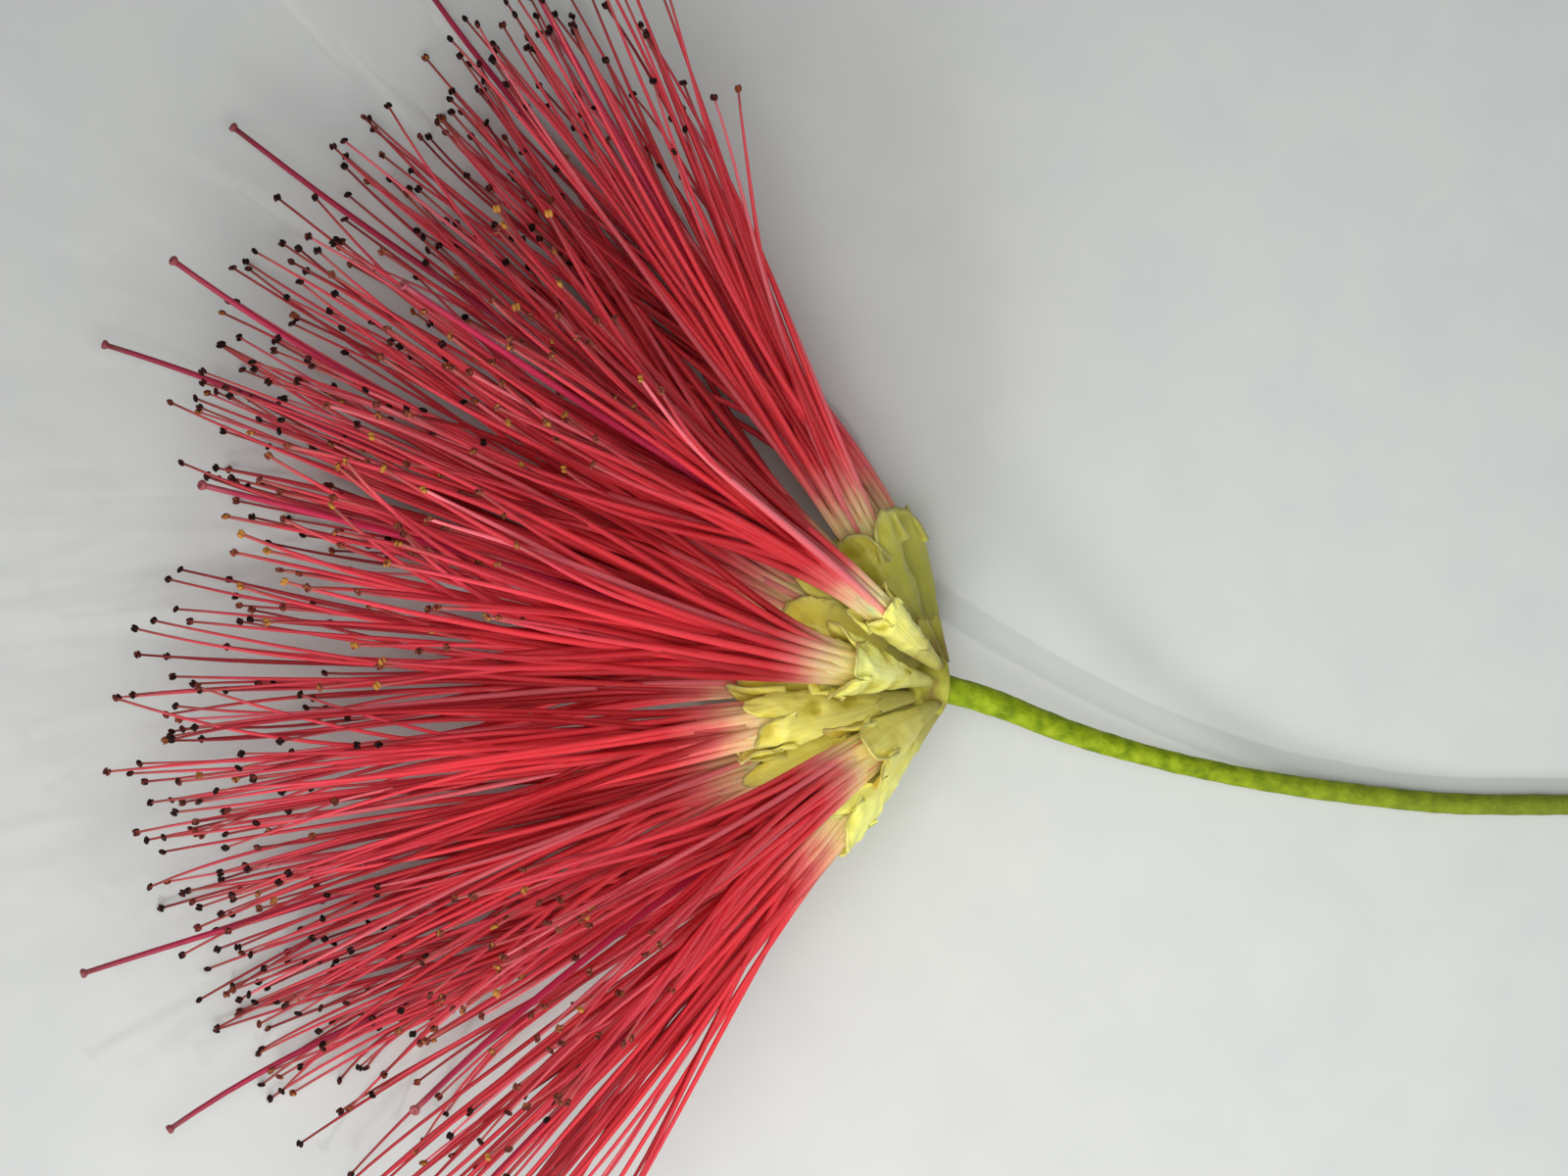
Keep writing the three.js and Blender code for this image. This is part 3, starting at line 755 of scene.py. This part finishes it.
def corolla(number, floret):
    # Three draws a lobe, as in the solid; the last two say how far its two sides reach.
    shares = [1 - LOBE_RAGGED * next(draws) for _ in range(3 * LOBES)]
    roll = 2 * math.pi * next(draws)
    chance = random.Random(number)
    curls = [chance.uniform(*LOBE_CURL) for _ in range(LOBES)]
    tips = [chance.uniform(*TIP_BROWNING) for _ in range(LOBES)]
    creased = CREASE_DEPTH * CREASED.get(number, LEAST_CREASED)
    length = floret["length"]
    mouth = MOUTH * length
    corners = [(radius, 0, part * length) for part, radius in COROLLA_PROFILE]
    outline = smooth_route(corners, COROLLA_STEPS_A_STRETCH)
    bm = turned_sheet([(point.x, point.z) for point in outline], LOBES * LOBE_COLUMNS)
    own = bm.verts.layers.float_vector.new("own")
    painted_light_and_wear = bm.verts.layers.float_color.new("painted_light_and_wear")
    part_lobes(bm, mouth)
    lobes = [lobe_of(vert) for vert in bm.verts]
    for vert, lobe in zip(bm.verts, lobes):
        part = vert.co.z / length
        angle, radius, rim = around(vert.co), vert.co.xy.length, 0
        above = max(vert.co.z - mouth, 0) / (length - mouth)
        if above > 0:
            sides = shares[3 * lobe + 1:3 * lobe + 3]
            radius, angle, rise, rim = shape_lobe(number, vert.co, lobe, above, sides, curls[lobe])
            vert.co.z = mouth + (length - mouth) * rise
        out = Vector((math.cos(angle), math.sin(angle), 0))
        flute = noise.noise(FLUTES * out + Vector((number, 0, FLUTE_DRIFT * vert.co.z)))
        crumple = crease((out * radius + Vector((number, number, vert.co.z))) / CREASE_SIZE)
        off_foot = min(2 * part, 1)
        radius += (FLUTE_DEPTH * flute + creased * crumple) * off_foot
        radius *= mix(1, floret["girth"], off_foot)
        ruffled = vert.co.z + CREASE_RUFFLE * creased * crumple
        vert.co = Vector((radius * out.x, radius * out.y, ruffled))
        vert[own] = Vector((math.cos(angle), math.sin(angle), part))
        fold_shade = FOLD_SHADE_MIDDLE + FLUTE_SHADE * flute + CREASE_SHADE * creased / CREASE_DEPTH * crumple
        browned = above ** RIM_POWER * tips[lobe]
        # Painted shade of the folds, painted rim highlight, real browned tips, and the
        # olive-to-lemon share that is partly painted light.
        vert[painted_light_and_wear] = (min(max(fold_shade, 0), 1), rim, browned, PALE_WITH_PAINTED_LIGHT.get(number, LEAST_PALE_SHADED))
    bm.transform(stand_on_foot(floret) @ Matrix.Rotation(roll, 4, "Z"))
    aside = floret["brush"] - floret["axis"] * floret["brush"].dot(floret["axis"])
    for vert in bm.verts:
        part = (vert.co - floret["foot"]).dot(floret["axis"]) / length
        vert.co += aside * COROLLA_LEAN * max(2 * part - 1, 0) ** 2
    piece = finish_piece(
        bm, f"corolla_petals_{number:02d}", petal_material, "petal", f"corolla_{number:02d}")
    thicken(piece, COROLLA_WALL)


petal_material = waxy_petal()
for number, floret in enumerate(florets, 1):
    corolla(number, floret)

# Stamens: a pale column, which rises out of each corolla and carries the filaments. They are
# round translucent red threads, cream to pink where they leave it. All of one floret grew
# together and make one piece.
COLUMN_FOOT = 0.3
COLUMN_SIDES = 30
COLUMN_STEPS = 7
COLUMN_RADII = (0.2, 0.5, 0.58, 0.6, 0.62, 0.62, 0.6, 0.5)
FILAMENT_SIDES = 6
FILAMENT_RADII = (0.12, 0.12, 0.105, 0.088, 0.068, 0.042)
FILAMENT_SEED = 50
PALE_SHARE = 0.08
PALENESS = (0.4, 0.9)
# Three brushes get painted shade, their brightest filaments held darker, and the filaments of two on
# top are stouter.
BRIGHTEST_IN_PAINTED_SHADE = {3: 0.35, 5: 0.65, 12: 0.6}
STOUT = {3: 1.3, 5: 1.3}
FILAMENT_TONE_SIZE = 1.2
FILAMENT_TONE_WANDER = 0.06


def red_filament():
    # Living red thread: satin, colour from within, cream where it leaves the corolla's mouth
    # and brownish at the very tip.
    material, tree, shader = new_material("red_filament", roughness=0.5, specular=0.3)
    own = add_node(tree, "ShaderNodeAttribute", attribute_name="own")
    parts = add_node(tree, "ShaderNodeSeparateXYZ", {"Vector": own.outputs["Vector"]})
    place = add_node(tree, "ShaderNodeTexCoord").outputs["Object"]
    uneven = add_node(tree, "ShaderNodeTexNoise", {
        "Vector": place, "Scale": pattern_scale(FILAMENT_TONE_SIZE), "Detail": 2})
    shift = add_node(tree, "ShaderNodeMath", {
        0: uneven.outputs["Fac"], 1: FILAMENT_TONE_WANDER, 2: -FILAMENT_TONE_WANDER / 2},
        operation="MULTIPLY_ADD")
    along = add_node(tree, "ShaderNodeMath", {
        0: parts.outputs["Z"], 1: shift.outputs["Value"]}, operation="ADD")
    colour = add_node(tree, "ShaderNodeValToRGB", {"Fac": along.outputs["Value"]}, stops=[
        (0.0, "#e4d878"), (0.08, "#eedc98"), (0.13, "#f2ca9c"), (0.19, "#f07c78"),
        (0.26, "#ec464e"), (0.6, "#ec424c"), (0.92, "#d84a58"), (1.0, "#a0584e")])
    tone = add_node(tree, "ShaderNodeValToRGB", {"Fac": parts.outputs["X"]}, stops=[
        (0, "#ac646c"), (0.4, "#f6e2e6"), (1, "#ffffff")])
    grown = add_node(tree, "ShaderNodeMapRange", {
        "Value": along.outputs["Value"], "From Min": 0.08, "From Max": 0.25})
    toned = add_node(tree, "ShaderNodeMixRGB", {
        "Fac": grown.outputs["Result"], "Color1": colour.outputs["Color"],
        "Color2": tone.outputs["Color"]}, blend_type="MULTIPLY")
    paled = add_node(tree, "ShaderNodeMixRGB", {
        "Fac": parts.outputs["Y"], "Color1": toned.outputs["Color"], "Color2": linear("#ea7680")})
    tree.links.new(paled.outputs["Color"], shader.inputs["Base Color"])
    shader.inputs["Subsurface Weight"].default_value = 0.5
    shader.inputs["Subsurface Radius"].default_value = (0.4 * MM, 0.04 * MM, 0.05 * MM)
    return material


def along_radii(radii, part):
    """The radius at a part of a strand, from radii at even places along it."""
    place = part * (len(radii) - 1)
    index = min(int(place), len(radii) - 2)
    return mix(radii[index], radii[index + 1], place - index)


def add_strand(bm, template, line, radii, tone=0, pale=0):
    """Adds one round thread along its line, marked with its tone and with each point's part."""
    start = len(bm.verts)
    bm.from_mesh(template)
    bm.verts.ensure_lookup_table()
    verts = bm.verts[start:]
    own = bm.verts.layers.float_vector["own"]
    for vert in verts:
        vert[own] = Vector((tone, pale, vert.co.z))
    bend_tube(verts, line, lambda step: along_radii(radii, step / STRAND_STEPS))


def kept_mesh(bm):
    """Keeps a finished shape as a mesh, from which it can be added to a larger one."""
    mesh = bpy.data.meshes.new("kept")
    bm.to_mesh(mesh)
    bm.free()
    return mesh


def column(floret):
    """The column of one floret, bent with its filaments, as a shape of its own."""
    foot, axis = floret["foot"], floret["axis"]
    root = mouth_middle(floret)
    brush = floret["brush"] * STAMEN_LENGTH
    middle = interpolate_bezier(
        root, root + axis * STRAIGHT, brush * BEND_AT, brush, 2 * STRAND_STEPS + 1)
    line = [foot + axis * COLUMN_FOOT * floret["length"], *middle[:COLUMN_STEPS]]
    bm = tube_template(COLUMN_SIDES, COLUMN_STEPS)
    own = bm.verts.layers.float_vector.new("own")
    for vert in bm.verts:
        part = max(vert.co.z * COLUMN_STEPS - 1, 0) / (2 * STRAND_STEPS)
        vert[own] = Vector((1, 0, part))
    bend_tube(bm.verts, line, lambda step: COLUMN_RADII[step] * floret["girth"])
    return kept_mesh(bm)


def stamens(number, floret):
    bm = bmesh.new()
    bm.verts.layers.float_vector.new("own")
    chance = random.Random(FILAMENT_SEED + number)
    # Painted shade: brushes that lie in shade get darker filaments.
    shaded_brightest = BRIGHTEST_IN_PAINTED_SHADE.get(number, 1)
    radii = [STOUT.get(number, 1) * radius for radius in FILAMENT_RADII]
    for line in floret["filament_lines"]:
        pale = chance.uniform(*PALENESS) if chance.random() < PALE_SHARE else 0
        add_strand(bm, filament_template, line, radii, chance.uniform(0, shaded_brightest), pale)
    bm.from_mesh(column(floret))
    finish_piece(
        bm, f"filaments_{number:02d}", filament_material, "stamen", f"stamens_{number:02d}")


filament_material = red_filament()
filament_template = kept_mesh(tube_template(FILAMENT_SIDES, STRAND_STEPS))
for number, floret in enumerate(florets, 1):
    stamens(number, floret)

# Anthers: the tiny two-lobed pollen sac at the tip of each filament. Dry, nearly black brown,
# and dusted yellow where it has opened.
ANTHER_LOBE = (0.07, 0.075, 0.125)
ANTHER_LOBES_APART = 0.055
ANTHER_SWING = 1.2
ANTHER_SPIN = 3.1
ANTHER_SEED = 100
DUST_SIZE = 0.1
MOST_DUST = 0.45
# The anthers of three florets on top carry more dust than the rest.
FRESH = {3: 0.29, 5: 0.29, 13: 0.26}


def anther_skin():
    # Dried pollen sac: dull, almost black, with patches of yellow dust on some.
    material, tree, shader = new_material("dry_anther", roughness=0.75, specular=0.15)
    own = add_node(tree, "ShaderNodeAttribute", attribute_name="own")
    parts = add_node(tree, "ShaderNodeSeparateXYZ", {"Vector": own.outputs["Vector"]})
    place = add_node(tree, "ShaderNodeTexCoord").outputs["Object"]
    dust = add_node(tree, "ShaderNodeTexNoise", {
        "Vector": place, "Scale": pattern_scale(DUST_SIZE), "Detail": 2})
    amount = add_node(tree, "ShaderNodeMath", {
        0: dust.outputs["Fac"], 1: parts.outputs["X"]}, operation="ADD")
    colour = add_node(tree, "ShaderNodeValToRGB", {"Fac": amount.outputs["Value"]}, stops=[
        (0.55, "#160a08"), (0.7, "#5a2420"), (0.9, "#84402c"), (1.0, "#a8742e")])
    tree.links.new(colour.outputs["Color"], shader.inputs["Base Color"])
    return material


def anther_shape():
    bm = bmesh.new()
    for side in (-1, 1):
        place = Matrix.Translation((side * ANTHER_LOBES_APART, 0, 0))
        place @= Matrix.Diagonal((*ANTHER_LOBE, 1))
        bmesh.ops.create_uvsphere(bm, u_segments=8, v_segments=6, radius=1, matrix=place)
    return bm


def anthers(number, floret):
    bm = bmesh.new()
    own = bm.verts.layers.float_vector.new("own")
    chance = random.Random(ANTHER_SEED + number)
    for line in floret["filament_lines"]:
        start = len(bm.verts)
        bm.from_mesh(sac_template)
        bm.verts.ensure_lookup_table()
        tilt = Vector((0, 0, 1)).rotation_difference(line[-1] - line[-2]).to_matrix()
        swing = Matrix.Rotation(chance.uniform(-ANTHER_SWING, ANTHER_SWING), 3, "X")
        swing @= Matrix.Rotation(chance.uniform(0, ANTHER_SPIN), 3, "Z")
        dusted = FRESH.get(number, 0) + MOST_DUST * chance.random() ** 4
        for vert in bm.verts[start:]:
            vert.co = tilt @ (swing @ vert.co) + line[-1]
            vert[own] = Vector((dusted, 0, 0))
    finish_piece(bm, f"anthers_{number:02d}", anther_material, "stamen")


anther_material = anther_skin()
sac_template = kept_mesh(anther_shape())
for number, floret in enumerate(florets, 1):
    anthers(number, floret)

# Styles: one crimson thread from the middle of most florets, longer than the stamens and thicker
# past the mouth, that ends in a small cupped stigma. Smooth living tissue.
STYLE_SIDES = 12
STYLE_RADII = (0.085, 0.108, 0.116, 0.112, 0.1, 0.085)
STIGMA_RADIUS = 0.155
STIGMA_CUP = 0.1
STIGMA_CUP_WIDTH = 0.7
STIGMA_FLATTENED = 0.3
STYLE_TONE_SIZE = 0.8
STYLE_TONE_WANDER = 0.1


def crimson_style():
    # Living crimson thread: satin, duller and browner towards the stigma.
    material, tree, shader = new_material("crimson_style", roughness=0.42, specular=0.3)
    own = add_node(tree, "ShaderNodeAttribute", attribute_name="own")
    parts = add_node(tree, "ShaderNodeSeparateXYZ", {"Vector": own.outputs["Vector"]})
    place = add_node(tree, "ShaderNodeTexCoord").outputs["Object"]
    uneven = add_node(tree, "ShaderNodeTexNoise", {
        "Vector": place, "Scale": pattern_scale(STYLE_TONE_SIZE), "Detail": 2})
    shift = add_node(tree, "ShaderNodeMath", {
        0: uneven.outputs["Fac"], 1: STYLE_TONE_WANDER, 2: -STYLE_TONE_WANDER / 2},
        operation="MULTIPLY_ADD")
    along = add_node(tree, "ShaderNodeMath", {
        0: parts.outputs["Z"], 1: shift.outputs["Value"]}, operation="ADD")
    colour = add_node(tree, "ShaderNodeValToRGB", {"Fac": along.outputs["Value"]}, stops=[
        (0.0, "#e8c080"), (0.1, "#e89a8c"), (0.22, "#c02a4c"), (0.85, "#b02246"),
        (0.97, "#962c42"), (1.0, "#8c4448")])
    tree.links.new(colour.outputs["Color"], shader.inputs["Base Color"])
    shader.inputs["Subsurface Weight"].default_value = 0.2
    shader.inputs["Subsurface Radius"].default_value = (0.3 * MM, 0.04 * MM, 0.08 * MM)
    return material


def stigma(bm, line):
    """A small round knob at the end of a line, cupped at its outer end."""
    start = len(bm.verts)
    bmesh.ops.create_uvsphere(bm, u_segments=16, v_segments=12, radius=STIGMA_RADIUS)
    bm.verts.ensure_lookup_table()
    verts = bm.verts[start:]
    own = bm.verts.layers.float_vector["own"]
    tilt = Vector((0, 0, 1)).rotation_difference(line[-1] - line[-2])
    for vert in verts:
        middle = max(1 - vert.co.xy.length / (STIGMA_CUP_WIDTH * STIGMA_RADIUS), 0)
        if vert.co.z > 0:
            vert.co.z -= STIGMA_CUP * middle + STIGMA_FLATTENED * vert.co.z
        vert.co = tilt @ vert.co + line[-1]
        vert[own] = Vector((0, 0, 1))


def style(number, line):
    bm = bmesh.new()
    bm.verts.layers.float_vector.new("own")
    add_strand(bm, style_template, line, STYLE_RADII)
    stigma(bm, line)
    finish_piece(bm, f"styles_{number:02d}", style_material, "style", f"style_{number:02d}")


style_material = crimson_style()
style_template = kept_mesh(tube_template(STYLE_SIDES, STRAND_STEPS))
for number, floret in enumerate(florets, 1):
    for line in floret["style_lines"]:
        style(number, line)

# Floor and light: a pale matt sheet under four lamps and an even fill. One lamp is overhead, a wide
# one at the lower left, a low one below, and a small one at the lower right draws the clearest
# shadows, which run up the picture.
FLOOR_WIDTH = 1200
FIBRE_SIZE = 3
# Each lamp's place from the head and its width, in millimetres, and its power in watts.
OVERHEAD_LAMP = (Vector((-5, -7, 60)), 36, 0.0204)
WIDE_LAMP = (Vector((-70, -90, 110)), 120, 0.07)
LOW_LAMP = (Vector((-20, -70, 45)), 20, 0.02)
SMALL_LAMP = (Vector((57, -78, 63)), 2.5, 0.023)
FILL_COLOUR = "#e0e5e8"
FILL_STRENGTH = 0.32


def pale_sheet():
    # Matt white card: the faintest uneven tone, and no gloss.
    material, tree, shader = new_material("pale_matt_sheet", roughness=0.9, specular=0.2)
    place = add_node(tree, "ShaderNodeTexCoord").outputs["Object"]
    fibre = add_node(tree, "ShaderNodeTexNoise", {
        "Vector": place, "Scale": pattern_scale(FIBRE_SIZE), "Detail": 4})
    tint = add_node(tree, "ShaderNodeValToRGB", {"Fac": fibre.outputs["Fac"]}, stops=[
        (0.3, "#ced1ce"), (0.7, "#d3d5d1")])
    tree.links.new(tint.outputs["Color"], shader.inputs["Base Color"])
    return material


def soft_lamp(name, place, size, power):
    """A square lamp at a place measured from the head, turned towards it, itself unseen."""
    lamp_data = bpy.data.lights.new(name, "AREA")
    lamp_data.size = size * MM
    lamp_data.energy = power
    lamp = bpy.data.objects.new(name, lamp_data)
    lamp.location = (HEAD + place) * MM
    lamp.rotation_euler = (-place).to_track_quat("-Z", "Y").to_euler()
    lamp.visible_camera = False
    bpy.context.scene.collection.objects.link(lamp)


floor_bm = bmesh.new()
bmesh.ops.create_grid(floor_bm, x_segments=1, y_segments=1, size=FLOOR_WIDTH / 2 * MM)
floor_mesh = bpy.data.meshes.new("floor")
floor_bm.to_mesh(floor_mesh)
floor_bm.free()
floor_mesh.materials.append(pale_sheet())
floor = bpy.data.objects.new("floor", floor_mesh)
bpy.context.scene.collection.objects.link(floor)

soft_lamp("overhead_lamp", *OVERHEAD_LAMP)
soft_lamp("wide_lamp", *WIDE_LAMP)
soft_lamp("low_lamp", *LOW_LAMP)
soft_lamp("small_lamp", *SMALL_LAMP)

world = bpy.data.worlds.new("even_fill")
world.use_nodes = True
world.node_tree.nodes["Background"].inputs["Color"].default_value = linear(FILL_COLOUR)
world.node_tree.nodes["Background"].inputs["Strength"].default_value = FILL_STRENGTH
bpy.context.scene.world = world
bpy.context.scene.view_settings.view_transform = "Standard"
